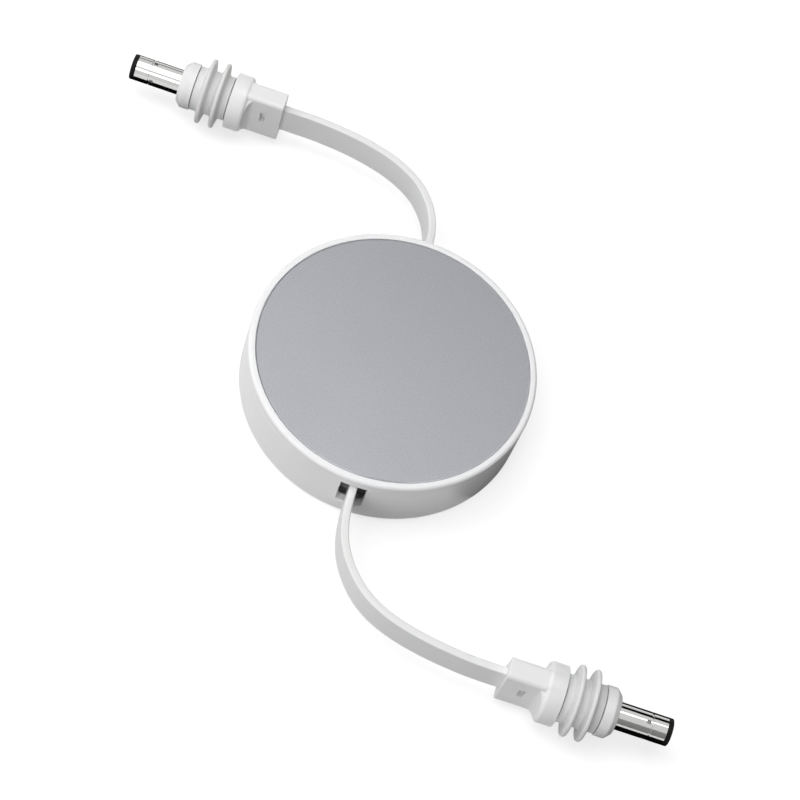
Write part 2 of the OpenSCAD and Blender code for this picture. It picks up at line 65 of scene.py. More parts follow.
# The two values between which most of a noise texture lies
NOISE_LOW, NOISE_HIGH = 0.3, 0.7

Point = tuple[float, float]
Corner = tuple[float, float, float]
Place = tuple[float, float, float]

# The middle of the object, in metres, which lamps and cards aim at unless told otherwise
CENTRE: Place = (0, 0, 0.007)


class Side(Enum):
    """The two ends of the cable, by the sign of X that each plug points along."""

    NEAR = 1
    FAR = -1

    @property
    def label(self) -> str:
        """The word that this side's nodes start with."""
        return self.name.lower()


def linear(hex_colour: str) -> tuple[float, float, float, float]:
    """Turns an sRGB hex colour to linear light.

    Args:
        hex_colour: Six hex digits after a hash sign.

    Returns:
        Linear red, green and blue, and an alpha of 1.
    """
    parts = [int(hex_colour[i:i + 2], 16) / 255 for i in (1, 3, 5)]
    red, green, blue = (
        p / 12.92 if p <= 0.04045 else ((p + 0.055) / 1.055) ** 2.4 for p in parts
    )
    return red, green, blue, 1.0


def add_node(tree: bpy.types.NodeTree, kind: str, settings: dict | None = None,
             links: dict | None = None) -> bpy.types.Node:
    """Adds one node to a tree.

    Args:
        tree: The node tree that takes it.
        kind: The node's type name.
        settings: Values by name, for the node's own options or its input sockets.
        links: Output sockets by the name or number of the input that each one feeds.

    Returns:
        The new node.
    """
    node = tree.nodes.new(kind)
    for name, value in (settings or {}).items():
        if isinstance(name, str) and hasattr(node, name):
            setattr(node, name, value)
        else:
            node.inputs[name].default_value = value
    for name, socket in (links or {}).items():
        tree.links.new(socket, node.inputs[name])
    return node


def grain_scale(size_mm: float) -> float:
    """The noise scale at which one grain is size_mm across on Object coordinates in metres."""
    return 1 / (size_mm * MM)


@dataclass(frozen=True)
class Finish:
    """A surface finish: the shader's plain values and the relief of its surface.

    Attributes:
        name: The material's common name and how its surface was made.
        colour: The sRGB hex colour of the bare material.
        roughness: The microscopic roughness, the same all over or the middle of a range.
        metallic: 1 for a metal and 0 for anything else.
        ior: The index of refraction, left at its default for a metal.
        gloss: The level of the reflection beside what the index alone gives, 0.5 for all of it.
        grain_mm: The size of the surface's fine relief.
        grain_depth_mm: The depth of that relief.
        wave_mm: The size of the slow unevenness that moulding or rolling leaves.
        wave_depth_mm: The depth of the slow unevenness.
        colour_spread: How far the colour varies over the surface, as a share of its value.
        rough_spread: How far the roughness varies over the surface.
    """

    name: str
    colour: str
    roughness: float
    metallic: float = 0.0
    ior: float = 1.5
    gloss: float = 0.5
    grain_mm: float = 0.12
    grain_depth_mm: float = 0.004
    wave_mm: float = 6.0
    wave_depth_mm: float = 0.004
    colour_spread: float = 0.012
    rough_spread: float = 0.03

    def shader_values(self) -> dict:
        """The shader's own values for this finish, by socket name."""
        values = {"Base Color": linear(self.colour), "Roughness": self.roughness,
                  "Metallic": self.metallic}
        if not self.metallic:
            values["IOR"] = self.ior
            values["Specular IOR Level"] = self.gloss
        return values

    def material(self) -> bpy.types.Material:
        """Builds the finish as a material, once, and gives it again when asked again.

        Returns:
            The material, named for the finish.
        """
        made = bpy.data.materials.get(self.name)
        if made is not None:
            return made
        made = bpy.data.materials.new(self.name)
        made.use_nodes = True
        tree = made.node_tree
        tree.nodes.clear()
        place = add_node(tree, "ShaderNodeTexCoord").outputs["Object"]
        shader = add_node(tree, "ShaderNodeBsdfPrincipled", self.shader_values())
        grain = add_node(tree, "ShaderNodeTexNoise",
                         {"Scale": grain_scale(self.grain_mm), "Detail": 3.0, "Roughness": 0.6},
                         {"Vector": place})
        wave = add_node(tree, "ShaderNodeTexNoise",
                        {"Scale": grain_scale(self.wave_mm), "Detail": 2.0}, {"Vector": place})
        self.tint(tree, shader, grain, wave)
        slow = add_node(tree, "ShaderNodeBump", {"Distance": self.wave_depth_mm * MM},
                        {"Height": wave.outputs["Fac"]})
        fine = add_node(tree, "ShaderNodeBump", {"Distance": self.grain_depth_mm * MM},
                        {"Height": grain.outputs["Fac"], "Normal": slow.outputs["Normal"]})
        tree.links.new(fine.outputs["Normal"], shader.inputs["Normal"])
        add_node(tree, "ShaderNodeOutputMaterial", links={"Surface": shader.outputs[0]})
        return made

    def tint(self, tree: bpy.types.NodeTree, shader: bpy.types.Node, grain: bpy.types.Node,
             wave: bpy.types.Node) -> None:
        """Varies the colour with the grain and the roughness with the slow unevenness.

        Args:
            tree: The material's node tree.
            shader: The shader that takes the varied colour and roughness.
            grain: The fine noise.
            wave: The slow noise.
        """
        red, green, blue, _ = linear(self.colour)
        low, high = 1 - self.colour_spread, 1 + self.colour_spread
        ramp = add_node(tree, "ShaderNodeValToRGB", links={"Fac": grain.outputs["Fac"]})
        dark, light = ramp.color_ramp.elements
        dark.position, light.position = NOISE_LOW, NOISE_HIGH
        dark.color = (red * low, green * low, blue * low, 1)
        light.color = (min(1, red * high), min(1, green * high), min(1, blue * high), 1)
        tree.links.new(ramp.outputs["Color"], shader.inputs["Base Color"])
        spread = add_node(tree, "ShaderNodeMapRange",
                          {"From Min": NOISE_LOW, "From Max": NOISE_HIGH,
                           "To Min": max(0.0, self.roughness - self.rough_spread),
                           "To Max": self.roughness + self.rough_spread},
                          {"Value": wave.outputs["Fac"]})
        tree.links.new(spread.outputs["Result"], shader.inputs["Roughness"])


@dataclass(frozen=True)
class SoftFinish(Finish):
    """A finish of a translucent, rubbery material, which lets light in a little way.

    Attributes:
        depth_mm: How far light wanders below the surface.
        share: How much of the light goes below the surface.
    """

    depth_mm: float = 0.6
    share: float = 0.25

    def shader_values(self) -> dict:
        """The plain values, with the light below the surface added."""
        values = super().shader_values()
        values["Subsurface Weight"] = self.share
        values["Subsurface Scale"] = self.depth_mm * MM
        values["Subsurface Radius"] = (1.0, 0.9, 0.8)
        return values


# Polycarbonate blend, injection moulded in a fine spark-eroded tool: an even, cool white with
# a soft sheen and a relief that is felt more than seen. The relief is drawn at 0.12 mm.
SHELL_WHITE = Finish("polycarbonate_moulded_satin_white", "#F1F1F2", 0.42, ior=1.58,
                     grain_mm=0.12, grain_depth_mm=0.0025)

# Thermoplastic elastomer, extruded: the flat cable's jacket, a soft white with low gloss and
# faint die lines that only break up its highlights.
CABLE_WHITE = SoftFinish("elastomer_extruded_white", "#EAEAEA", 0.5, ior=1.5,
                         grain_mm=0.16, grain_depth_mm=0.003, depth_mm=0.4, share=0.15)

# The same elastomer moulded over the plug's contacts: smoother than the cable.
PLUG_WHITE = SoftFinish("elastomer_moulded_white", "#EBEBEB", 0.4, ior=1.5,
                        grain_mm=0.14, grain_depth_mm=0.002, depth_mm=0.4, share=0.12)

# Silicone rubber, moulded: the seal, a slightly greyer white that light enters deeper, so
# its thin flanges look soft.
SEAL_SILICONE = SoftFinish("silicone_moulded_pale", "#DFDFDF", 0.52, ior=1.41,
                           grain_mm=0.2, grain_depth_mm=0.002, depth_mm=1.2, share=0.4)

# Aluminium, blasted with fine beads and clear anodised: a cool grey satin with a fine even
# sparkle. Real beads leave pits of 0.1 mm, drawn at 0.26 mm so that they show.
FACE_ALUMINIUM = Finish("aluminium_bead_blasted_anodised", "#97989C", 0.46, metallic=1.0,
                        grain_mm=0.26, grain_depth_mm=0.014, wave_mm=18, wave_depth_mm=0.002,
                        colour_spread=0.11, rough_spread=0.02)

# The same aluminium where the edge was cut after blasting: a bright narrow line.
FACE_EDGE = Finish("aluminium_diamond_cut_edge", "#D6D8DC", 0.2, metallic=1.0,
                   grain_mm=0.3, grain_depth_mm=0.0005, colour_spread=0.01)

# Brass under bright nickel plate, turned: the plug's barrel, a mirror with faint turning marks.
BARREL_NICKEL = Finish("nickel_plated_turned_bright", "#C8C8C6", 0.07, metallic=1.0,
                       grain_mm=0.5, grain_depth_mm=0.0003, wave_mm=5, wave_depth_mm=0.002,
                       colour_spread=0.008, rough_spread=0.02)

# The same plate in the pressed notches, where it stays dull.
NOTCH_NICKEL = Finish("nickel_plated_pressed_dull", "#7C7C7B", 0.5, metallic=1.0,
                      grain_mm=0.2, grain_depth_mm=0.002)

# Glass-filled polyamide, moulded: the black insulator at the plug's tip.
TIP_BLACK = Finish("polyamide_moulded_black", "#0C0C0C", 0.5, ior=1.53, gloss=0.12,
                   grain_mm=0.15, grain_depth_mm=0.002, colour_spread=0.08)

# Phosphor bronze under pale gold plate, stamped: the contact inside the bore.
CONTACT_GOLD = Finish("bronze_gold_plated", "#CDB98A", 0.22, metallic=1.0,
                      grain_mm=0.3, grain_depth_mm=0.0005)

# Steel, zinc plated: the case screw.
SCREW_STEEL = Finish("steel_zinc_plated", "#AFB1B3", 0.32, metallic=1.0,
                     grain_mm=0.25, grain_depth_mm=0.001, colour_spread=0.03)

# Acetal, moulded: the reel, a dull grey that runs without oil.
REEL_ACETAL = Finish("acetal_moulded_grey", "#8A8B8C", 0.5, ior=1.48,
                     grain_mm=0.2, grain_depth_mm=0.003)

# Spring steel strip and a hardened ball, both ground bright.
SPRING_STEEL = Finish("spring_steel_ground", "#8F9296", 0.28, metallic=1.0,
                      grain_mm=0.3, grain_depth_mm=0.0008, colour_spread=0.03)

# Acrylic foam tape: the sheet under the face plate, dull and dark.
TAPE_GREY = Finish("acrylic_foam_tape", "#55575A", 0.8, ior=1.47,
                   grain_mm=0.3, grain_depth_mm=0.01, colour_spread=0.05)

# Black velour card: the flags that give bright metal its dark edges, and the cards laid on the
# floor that are painted shade, the shadowed floor seen in the metal and the wall.
CARD_BLACK = Finish("velour_card_black", "#0A0A0A", 0.95, gloss=0.0, grain_mm=1.0,
                    grain_depth_mm=0.05)

# Matt paper card: the reflector whose even grey fills the middle of bright metal.
CARD_GREY = Finish("paper_card_matt", "#DCDCDC", 0.9, gloss=0.1, grain_mm=1.0,
                   grain_depth_mm=0.02)


def quarter(steps: int) -> list[float]:
    """The angles of a quarter turn in even steps, from 0 to 90 degrees."""
    return [math.pi / 2 * k / steps for k in range(steps + 1)]


def soft_max(a: float, b: float, width: float) -> float:
    """The larger of two values, with a smooth passage where they differ by less than width."""
    overlap = max(width - abs(a - b), 0) / width
    return max(a, b) + overlap ** 2 * width / 4


def rounded(corners: Iterable[Corner], closed: bool = True, steps: int = 6) -> list[Point]:
    """Rounds the corners of an outline.

    Args:
        corners: Each corner as two coordinates and the radius of its fillet.
        closed: Whether the outline's last corner joins its first.
        steps: The number of short edges in each fillet.

    Returns:
        The outline's points, with an arc at each corner that has a radius.
    """
    listed = list(corners)
    points: list[Point] = []
    for i, (x, y, radius) in enumerate(listed):
        at_end = not closed and i in (0, len(listed) - 1)
        if radius <= 0 or at_end:
            points.append((x, y))
            continue
        here = Vector((x, y))
        back = (Vector(listed[i - 1][:2]) - here).normalized()
        ahead = (Vector(listed[(i + 1) % len(listed)][:2]) - here).normalized()
        half = back.angle(ahead) / 2
        middle = (back + ahead).normalized() * (radius / math.sin(half))
        centre = here + middle
        start = here + back * (radius / math.tan(half)) - centre
        end = here + ahead * (radius / math.tan(half)) - centre
        sweep = start.angle_signed(end)
        for k in range(steps + 1):
            turned = start.copy()
            turned.rotate(Matrix.Rotation(-sweep * k / steps, 2))
            points.append(tuple(centre + turned))
    return points


def lathe(bm: bmesh.types.BMesh, profile: Sequence[Point], steps: int, closed: bool = True) -> None:
    """Spins a profile of radius and height round the Z axis.

    Args:
        bm: The mesh that takes the turned shape.
        profile: Points of radius and height, in millimetres.
        steps: The number of steps in the full turn.
        closed: Whether the profile's last point joins its first.
    """
    verts = [bm.verts.new((r, 0, z)) for r, z in profile]
    pairs = list(zip(verts, verts[1:])) + ([(verts[-1], verts[0])] if closed else [])
    on_axis = [(a, b) for a, b in pairs if abs(a.co.x) < TINY and abs(b.co.x) < TINY]
    edges = [bm.edges.new(p) for p in pairs if p not in on_axis]
    bmesh.ops.spin(bm, geom=verts + edges, cent=(0, 0, 0), axis=(0, 0, 1), dvec=(0, 0, 0),
                   angle=FULL_TURN, steps=steps, use_merge=True)
    bmesh.ops.remove_doubles(bm, verts=bm.verts[:], dist=WELD)
    bmesh.ops.recalc_face_normals(bm, faces=bm.faces[:])


def loft(bm: bmesh.types.BMesh, loops: Sequence[Sequence[Vector]]) -> None:
    """Extrudes one closed loop through a row of places and closes both ends with a face.

    Args:
        bm: The mesh that takes the shape.
        loops: The places, each with the same number of points in the same order.
    """
    verts = [bm.verts.new(p) for p in loops[0]]
    ring = [bm.edges.new((a, b)) for a, b in zip(verts, verts[1:] + verts[:1])]
    bm.faces.new(verts)
    for loop in loops[1:]:
        made = bmesh.ops.extrude_edge_only(bm, edges=ring)["geom"]
        new = [g for g in made if isinstance(g, bmesh.types.BMVert)]
        ring = [g for g in made if isinstance(g, bmesh.types.BMEdge)
                and all(v in new for v in g.verts)]
        partner = {v: next(e.other_vert(v) for e in v.link_edges if e.other_vert(v) in verts)
                   for v in new}
        order = {v: i for i, v in enumerate(verts)}
        for v in new:
            v.co = loop[order[partner[v]]]
        verts = sorted(new, key=lambda v: order[partner[v]])
    bm.faces.new(verts)
    bmesh.ops.recalc_face_normals(bm, faces=bm.faces[:])


def facing(place: Place, aim: Place, axis: str) -> Quaternion:
    """The turn that points an axis from a place to its aim."""
    return (Vector(aim) - Vector(place)).to_track_quat(axis, "Y")


def place_object(name: str, data: bpy.types.ID) -> bpy.types.Object:
    """Makes an object of a mesh, a lamp or a camera and links it to the scene."""
    obj = bpy.data.objects.new(name, data)
    bpy.context.scene.collection.objects.link(obj)
    return obj


def link_mesh(name: str, bm: bmesh.types.BMesh) -> bpy.types.Object:
    """Turns a drawn mesh into an object in the scene and frees the drawing."""
    mesh = bpy.data.meshes.new(name)
    bm.to_mesh(mesh)
    bm.free()
    return place_object(name, mesh)


class Piece:
    """One piece: its mesh while it is drawn, in mm, and its way to a dressed object."""

    SHARP_ANGLE = math.radians(32)
    FLAT_WEIGHT = 80

    def __init__(self, name: str, place: Matrix | None = None) -> None:
        """Starts an empty piece.

        Args:
            name: The piece's name.
            place: The turn and shift, in millimetres, from the piece's own frame to the row frame.
        """
        self.name = name
        self.place = place or Matrix.Identity(4)
        self.bm = bmesh.new()

    def complete(self, finishes: Sequence[Finish], node: str, slot: str, weighted: bool = True,
                 pick: Callable[[bmesh.types.BMFace], int] | None = None) -> bpy.types.Object:
        """Turns the drawn mesh into a dressed object in metres, at the origin, unturned.

        Args:
            finishes: The finishes, the first for every face that pick doesn't move.
            node: The CAD node that the piece stands for.
            slot: Not used.
            weighted: Whether flat faces are kept flat beside their fillets.
            pick: Gives the number of the finish that a face takes, from its place in millimetres.

        Returns:
            The piece's object, riding on its body.
        """
        for face in self.bm.faces:
            face.smooth = True
            face.material_index = pick(face) if pick else 0
        bmesh.ops.transform(self.bm, matrix=Matrix.Scale(MM, 4) @ self.place,
                            verts=self.bm.verts[:])
        obj = link_mesh(self.name, self.bm)
        obj.data.set_sharp_from_angle(angle=self.SHARP_ANGLE)
        for finish in finishes:
            obj.data.materials.append(finish.material())
        if weighted:
            flat = obj.modifiers.new("flat_faces", "WEIGHTED_NORMAL")
            flat.keep_sharp = True
            flat.weight = self.FLAT_WEIGHT
        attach(obj, BODY)
        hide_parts(node)
        log.info("%s: %d faces, on %s", self.name, len(obj.data.polygons), BODY)
        return obj


def carve(piece: Piece, cutters: Sequence[bmesh.types.BMesh]) -> None:
    """Cuts shapes out of a piece that is still being drawn.

    Args:
        piece: The piece, which keeps its drawing in millimetres.
        cutters: The shapes to take away, in the piece's own frame.
    """
    blank = link_mesh("blank", piece.bm)
    tools = [link_mesh("tool", cutter) for cutter in cutters]
    for tool in tools:
        cut = blank.modifiers.new("cut", "BOOLEAN")
        cut.operation = "DIFFERENCE"
        cut.solver = "EXACT"
        cut.object = tool
    shaped = blank.evaluated_get(bpy.context.evaluated_depsgraph_get()).to_mesh()
    piece.bm = bmesh.new()
    piece.bm.from_mesh(shaped)
    for used in (blank, *tools):
        used_mesh = used.data
        bpy.data.objects.remove(used)
        bpy.data.meshes.remove(used_mesh)


def block_cutter(size: Vector, centre: Vector, bevel: float = 0.0) -> bmesh.types.BMesh:
    """A box-shaped cutter.

    Args:
        size: Its three sides, in millimetres.
        centre: Its middle, in the frame of the piece that it cuts.
        bevel: The radius of its edges.

    Returns:
        The cutter's mesh.
    """
    bm = bmesh.new()
    bmesh.ops.create_cube(bm, size=1)
    bmesh.ops.scale(bm, vec=size, verts=bm.verts[:])
    if bevel > 0:
        bmesh.ops.bevel(bm, geom=bm.edges[:], offset=bevel, offset_type="OFFSET", segments=3,
                        profile=0.5, affect="EDGES", material=-1)
    bmesh.ops.translate(bm, vec=centre, verts=bm.verts[:])
    return bm


@dataclass
class Slot:
    """The U-shaped cable outlet in the wall, open up to the parting seam. Sizes in mm."""

    width: float = 5.3
    corner_r: float = 1.1
    floor_z: float = 3.8
    lip: float = 0.38
    lip_flare: float = 0.6
    corner_steps: int = 10
    lip_step: int = 15

    def outline(self, grow: float, top: float) -> list[Point]:
        """The outlet's outline, across and up.

        Args:
            grow: How far the outline stands out from the slot's own walls.
            top: The height at which the outline is closed.

        Returns:
            Points of X and Z.
        """
        half, low = self.width / 2 + grow, self.floor_z - grow
        radius = self.corner_r + grow
        return rounded([(-half, top, 0), (-half, low, radius), (half, low, radius), (half, top, 0)],
                       steps=self.corner_steps)

    def cutter(self, wall_r: float, wall_t: float, top: float, turn: float) -> bmesh.types.BMesh:
        """The shape that cuts the outlet through a round wall, with a rounded outer lip.

        Args:
            wall_r: The wall's outer radius.
            wall_t: The wall's thickness.
            top: The height up to which it cuts.
            turn: The angle round Z from the -Y side.

        Returns:
            The cutter's mesh.
        """
        lip_turns = [math.radians(d) for d in range(0, 91, self.lip_step)]
        places = [(wall_r - wall_t - CUT_OVER, 0.0)]
        places += [(wall_r - self.lip * (1 - math.sin(a)), self.lip * (1 - math.cos(a)))
                   for a in lip_turns]
        places.append((wall_r + CUT_OVER, self.lip + self.lip_flare))
        bm = bmesh.new()
        loft(bm, [[Vector((x, -r, z)) for x, z in self.outline(grow, top)] for r, grow in places])
        bmesh.ops.rotate(bm, cent=(0, 0, 0), matrix=Matrix.Rotation(turn, 3, "Z"),
                         verts=bm.verts[:])
        return bm


@dataclass
class CaseScrew:
    """The screw through the floor: a pan head with a cross recess, and its shank. Sizes in mm."""

    head_z: float = 0.4
    head_r: float = 1.9
    head_edge: float = 0.35
    shank_r: float = 1.0
    shank_tip: float = 0.3
    cross: tuple[float, float, float] = (2.3, 0.45, 1.2)
    cross_edge: float = 0.05
    steps: int = 64

    def build(self, seat_z: float, end_z: float) -> None:
        """Builds and dresses the screw.

        Args:
            seat_z: The height of the seat under its head.
            end_z: The height of its far end.
        """
        piece = Piece("case_screw_cross")
        lathe(piece.bm, rounded([
            (0, self.head_z, 0), (self.head_r, self.head_z, self.head_edge),
            (self.head_r, seat_z, 0), (self.shank_r, seat_z, 0),
            (self.shank_r, end_z, self.shank_tip), (0, end_z, 0)], closed=False), self.steps)
        long, wide, deep = self.cross
        carve(piece, [block_cutter(Vector(size), Vector((0, 0, self.head_z)), self.cross_edge)
                      for size in ((long, wide, deep), (wide, long, deep))])
        piece.complete([SCREW_STEEL], "case_screw", slot="screw_steel")


@dataclass
class Housing:
    """The round housing: lower shell, cover, face plate and case screw. Sizes in mm."""

    outer_r: float = 29.75
    height: float = 13.6
    seam_z: float = 11.2
    wall: float = 1.7
    floor: float = 1.4
    inner_fillet: float = 0.4
    edge_r: float = 0.7
    seam_bevel: float = 0.12
    fine_edge: float = 0.1
    plate_r: float = 28.15
    plate_t: float = 0.5
    plate_sink: float = 0.1
    plate_chamfer: float = 0.15
    recess_r: float = 28.3
    recess_z: float = 12.9
    web_z: float = 12.0
    skirt_t: float = 0.9
    skirt_h: float = 1.6
    skirt_play: float = 0.05
    notch_in: float = 1.1
    notch_out: float = 0.3
    cap_z: float = 11.15
    journal_r: float = 3.2
    journal_top: float = 3.75
    bearing_w: float = 2.2
    bearing_h: float = 0.55
    post_r: float = 2.6
    boss_r: float = 3.0
    counterbore_r: float = 2.1
    counterbore_h: float = 1.5
    screw_hole_r: float = 1.1
    screw_reach: float = 1.1
    steps: int = 240
    slot: Slot = field(default_factory=Slot)
    screw: CaseScrew = field(default_factory=CaseScrew)

    def build(self) -> None:
        """Builds and dresses every piece of the housing."""
        self.base_shell()
        self.top_cover()
        self.face_plate()
        self.screw.build(self.counterbore_h, self.cap_z + self.screw_reach)

    def base_shell(self) -> None:
        """Builds the lower shell: one moulding with two cable outlets in its wall."""
        piece = Piece("base_shell_white")
        inner, bearing_r = self.outer_r - self.wall, self.journal_r + self.bearing_w
        bearing_z = self.floor + self.bearing_h
        lathe(piece.bm, rounded([
            (self.counterbore_r, 0, self.fine_edge), (self.outer_r, 0, self.edge_r),
            (self.outer_r, self.seam_z, self.seam_bevel), (inner, self.seam_z, 0),
            (inner, self.floor, self.inner_fillet), (bearing_r, self.floor, 0),
            (bearing_r, bearing_z, 0), (self.journal_r, bearing_z, 0),
            (self.journal_r, self.journal_top, 0), (self.post_r, self.journal_top, 0),
            (self.post_r, self.cap_z, 0), (self.screw_hole_r, self.cap_z, 0),
            (self.screw_hole_r, self.counterbore_h, 0), (self.counterbore_r, self.counterbore_h, 0),
        ]), self.steps)
        carve(piece, [self.slot.cutter(self.outer_r, self.wall, self.seam_z + CUT_OVER, turn)
                      for turn in (0, math.pi)])
        piece.complete([SHELL_WHITE], "base_shell", slot="shell_white")

    def top_cover(self) -> None:
        """Builds the cover: rim, recess for the face plate, skirt and boss."""
        piece = Piece("top_cover_white")
        skirt_r = self.outer_r - self.wall - self.skirt_play
        skirt_in, skirt_z = skirt_r - self.skirt_t, self.seam_z - self.skirt_h
        lathe(piece.bm, rounded([
            (0, self.recess_z, 0), (0, self.cap_z, 0), (self.boss_r, self.cap_z, 0),
            (self.boss_r, self.web_z, 0), (skirt_in, self.web_z, 0), (skirt_in, skirt_z, 0),
            (skirt_r, skirt_z, 0), (skirt_r, self.seam_z, 0),
            (self.outer_r, self.seam_z, self.seam_bevel), (self.outer_r, self.height, self.edge_r),
            (self.recess_r, self.height, self.fine_edge), (self.recess_r, self.recess_z, 0),
        ], closed=False), self.steps)
        # The notches in the skirt end a hair below the seam, so that the cut leaves its face whole
        notch = Vector((self.slot.width, self.skirt_t + self.notch_in, self.seam_z - HAIR))
        middle_r = skirt_r - notch.y / 2 + self.notch_out
        carve(piece, [block_cutter(notch, Vector((0, side * middle_r, notch.z / 2)))
                      for side in (-1, 1)])
        piece.complete([SHELL_WHITE], "top_cover", slot="shell_white")

    def face_plate(self) -> None:
        """Builds the face plate, with a bright cut edge round its blasted face."""
        piece = Piece("face_plate_blasted")
        top, flat_r = self.height - self.plate_sink, self.plate_r - self.plate_chamfer
        lathe(piece.bm, [(0, top - self.plate_t), (self.plate_r, top - self.plate_t),
                         (self.plate_r, top - self.plate_chamfer), (flat_r, top), (0, top)],
              self.steps, closed=False)

        def pick(face: bmesh.types.BMFace) -> int:
            """The cut edge for faces outside the flat face, and the blasted one inside."""
            return 0 if min(v.co.xy.length for v in face.verts) < flat_r - HAIR else 1

        piece.complete([FACE_ALUMINIUM, FACE_EDGE], "face_plate", slot="face_aluminium",
                       weighted=False, pick=pick)


@dataclass
class Plug:
    """One sealed barrel plug. Stations are counted back from its tip, in mm."""

    side: Side
    axis_y: float
    axis_z: float = 7.15
    block_x: float = 38.2
    # The barrel, its ring groove and its pressed notches, by their turn in degrees
    barrel_r: float = 2.75
    barrel_wall: float = 0.5
    barrel_bevel: float = 0.06
    free_l: float = 11.0
    root_r: float = 2.5
    root_l: float = 8.0
    groove_s: float = 4.1
    groove_w: float = 0.22
    groove_d: float = 0.2
    groove_edge: float = 0.04
    notch_gap: float = 0.2
    notch_l: float = 0.8
    notch_steps: int = 3
    notch_turns: tuple[float, ...] = (10, 100, 190, 280)
    # The insulator and the contact in it
    tip_l: float = 1.0
    tip_edge: float = 0.22
    tip_seat: float = 0.04
    mouth_r: float = 0.15
    tube_spare: float = 1.0
    contact_r: float = 1.05
    contact_wall: float = 0.25
    contact_s: float = 0.6
    contact_play: float = 0.03
    bore_l: float = 9.0
    bore_end: float = 2.0
    tail_r: float = 0.8
    contact_steps: int = 64
    # The nose collar
    nose_l: float = 3.1
    nose_r: float = 5.05
    nose_face_r: float = 3.9
    nose_chamfer: float = 1.1
    nose_mouth: float = 0.12
    nose_front: float = 0.25
    nose_shoulder: float = 0.6
    nose_back: float = 0.1
    nose_socket: float = 0.97
    nose_gap: float = 0.18
    # The seal and its two flanges
    seal_l: float = 8.0
    seal_r: float = 4.8
    seal_edge: float = 0.12
    seal_gap: float = 0.33
    flange_r: float = 7.15
    flange_at: tuple[float, float] = (2.35, 5.45)
    flange_root: float = 1.7
    flange_tip: float = 0.75
    flange_fillet: float = 0.4
    flange_round: float = 0.98
    # The body: spigot, rear collar with its rim, flares and grip block with its pockets
    spigot_r: float = 3.6
    spigot_s: float = 1.0
    spigot_bevel: float = 0.05
    collar_l: float = 3.3
    collar_r: float = 6.1
    front_fillet: float = 0.2
    rim_back: float = 0.4
    rim_l: float = 0.8
    rim_drop: float = 0.7
    flare_l: float = 1.9
    melt: float = 0.3
    block_l: float = 8.3
    block_t: float = 4.6
    block_h: float = 11.7
    block_edge: float = 0.9
    rear_fillet: float = 0.22
    pocket: tuple[float, float, float] = (1.2, 3.0, 1.3)
    pocket_s: float = 4.0
    pocket_up: float = 0.6
    nest: float = 0.03
    steps: int = 144
    body_steps: int = 360
    curve_steps: int = 8
    fillet_steps: int = 6
    rim_steps: int = 10
    flare_steps: int = 24

    @property
    def seal_s(self) -> float:
        """The station of the seal's front."""
        return self.free_l + self.nose_l + self.nose_gap

    @property
    def collar_s(self) -> float:
        """The station of the rear collar's front."""
        return self.seal_s + self.seal_l

    @property
    def block_s(self) -> float:
        """The station of the block's front."""
        return self.collar_s + self.collar_l

    @property
    def length(self) -> float:
        """The plug's whole length."""
        return self.block_s + self.block_l

    @property
    def root_s(self) -> float:
        """The station of the barrel's buried end."""
        return self.free_l + self.root_l

    @property
    def place(self) -> Matrix:
        """The turn and shift from the plug's frame, with Z back along it, to the row frame."""
        sign = self.side.value
        turn = Matrix(((0, 0, -sign), (-sign, 0, 0), (0, 1, 0))).to_4x4()
        tip = Vector((sign * (self.block_x + self.length), self.axis_y, self.axis_z))
        return Matrix.Translation(tip) @ turn

    def start(self, part: str) -> Piece:
        """An empty piece in this plug's frame."""
        return Piece(f"{self.side.label}_{part}", self.place)

    def node(self, part: str) -> str:
        """The name of this plug's CAD node for a part."""
        return f"{self.side.label}_{part}"

    def build(self) -> list[bpy.types.Object]:
        """Builds and dresses every piece of the plug.

        Returns:
            The plug's objects.
        """
        return [self.barrel(), self.insulator(), self.contact(), self.nose(), self.seal(),
                self.body()]

    def barrel(self) -> bpy.types.Object:
        """Builds the plated barrel, with its ring groove and pressed notches."""
        piece = self.start("barrel_plated")
        r, front, end = self.barrel_r, self.groove_s, self.root_s
        back, inner, floor_r = front + self.groove_w, r - self.barrel_wall, r - self.groove_d
        notch_s = back + self.notch_gap
        notch_end = notch_s + self.notch_l
        lathe(piece.bm, [
            (inner, self.tip_l), (r - self.barrel_bevel, self.tip_l),
            (r, self.tip_l + self.barrel_bevel), (r, front - self.groove_edge), (floor_r, front),
            (floor_r, back), (r, back + self.groove_edge), (r, notch_s), (r, notch_end),
            (r, self.free_l), (self.root_r, self.free_l), (self.root_r, end), (inner, end),
        ], self.steps)
        low, high = notch_s - HAIR, notch_end + HAIR
        for centre in self.notch_turns:
            wanted = [f for f in piece.bm.faces
                      if all(low < v.co.z < high and v.co.xy.length > r - HAIR for v in f.verts)
                      and self.turn_between(f, centre) < self.notch_steps * 360 / self.steps]
            made = bmesh.ops.extrude_face_region(piece.bm, geom=wanted)["geom"]
            for v in (g for g in made if isinstance(g, bmesh.types.BMVert)):
                v.co.xy *= floor_r / r
            bmesh.ops.delete(piece.bm, geom=[f for f in wanted if f.is_valid], context="FACES_ONLY")
        bmesh.ops.recalc_face_normals(piece.bm, faces=piece.bm.faces[:])

        def pick(face: bmesh.types.BMFace) -> int:
            """The dull plate for the floors and walls of the notches, the bright one elsewhere."""
            middle = face.calc_center_median()
            in_notch = (inner + floor_r) / 2 < middle.xy.length < r - self.groove_d / 4
            return 1 if in_notch and low < middle.z < high else 0

        return piece.complete([BARREL_NICKEL, NOTCH_NICKEL], self.node("barrel"),
                              slot="barrel_nickel", pick=pick)

    @staticmethod
    def turn_between(face: bmesh.types.BMFace, turn: float) -> float:
        """How many degrees lie between a face's middle and a turn round the axis."""
        middle = face.calc_center_median()
        return abs((math.degrees(math.atan2(middle.x, middle.y)) - turn + 180) % 360 - 180)

